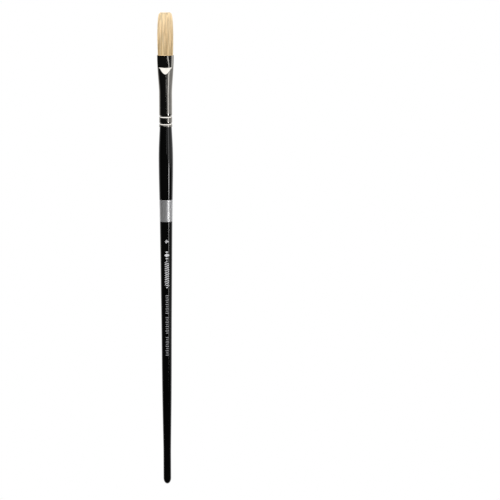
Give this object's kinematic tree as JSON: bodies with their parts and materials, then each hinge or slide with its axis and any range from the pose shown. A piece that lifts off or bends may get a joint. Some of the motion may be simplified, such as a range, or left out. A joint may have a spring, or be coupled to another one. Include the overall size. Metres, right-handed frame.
{
  "type": "flat bristle paint brush",
  "caption": "Long-handled artist's flat brush with a hog bristle tuft, a crimped nickel ferrule and a black lacquered wooden handle with a silver band.",
  "frame": {"origin": "centre of the tail end of the handle, at its lowest point", "axes": "+Z along the handle from the tail to the hair; +X across the flat of the ferrule and tuft; -Y is the stamped front"},
  "size_m": [0.0112, 0.0098, 0.32],
  "materials": {
    "birch_wood": "satin",
    "black_lacquer": "gloss",
    "silver_coat": "satin",
    "silver_foil": "satin",
    "grey_foil": "satin",
    "nickel_plate": "polished",
    "glue": "gloss",
    "resin": "gloss",
    "thread": "matte",
    "hog_bristle": "satin"
  },
  "bodies": {
    "handle": {"handle_core": "birch_wood", "shaft_lacquer": "black_lacquer", "silver_band": "silver_coat", "grip_lacquer": "black_lacquer", "size_number": "silver_foil", "foil_lozenge": "silver_foil", "foil_twist": "silver_foil", "foil_ticks": "grey_foil", "tenon_glue": "glue", "ferrule": "nickel_plate", "resin_plug": "resin", "binding_thread": "thread", "bristle_roots": "hog_bristle"},
    "tuft_heel": {"bristle_heel": "hog_bristle"},
    "tuft_belly": {"bristle_belly": "hog_bristle"},
    "tuft_toe": {"bristle_toe": "hog_bristle"}
  },
  "joints": [
    {"name": "heel_bend", "type": "hinge", "parent": "handle", "child": "tuft_heel", "pos_m": [0, 0, 0.2933], "axis": [1, 0, 0], "range_deg": [-18, 18], "stiffness_Nm_per_rad": 0.06},
    {"name": "belly_bend", "type": "hinge", "parent": "tuft_heel", "child": "tuft_belly", "pos_m": [0, 0, 0.302], "axis": [1, 0, 0], "range_deg": [-18, 18], "stiffness_Nm_per_rad": 0.06},
    {"name": "toe_bend", "type": "hinge", "parent": "tuft_belly", "child": "tuft_toe", "pos_m": [0, 0, 0.3105], "axis": [1, 0, 0], "range_deg": [-18, 18], "stiffness_Nm_per_rad": 0.06}
  ]
}
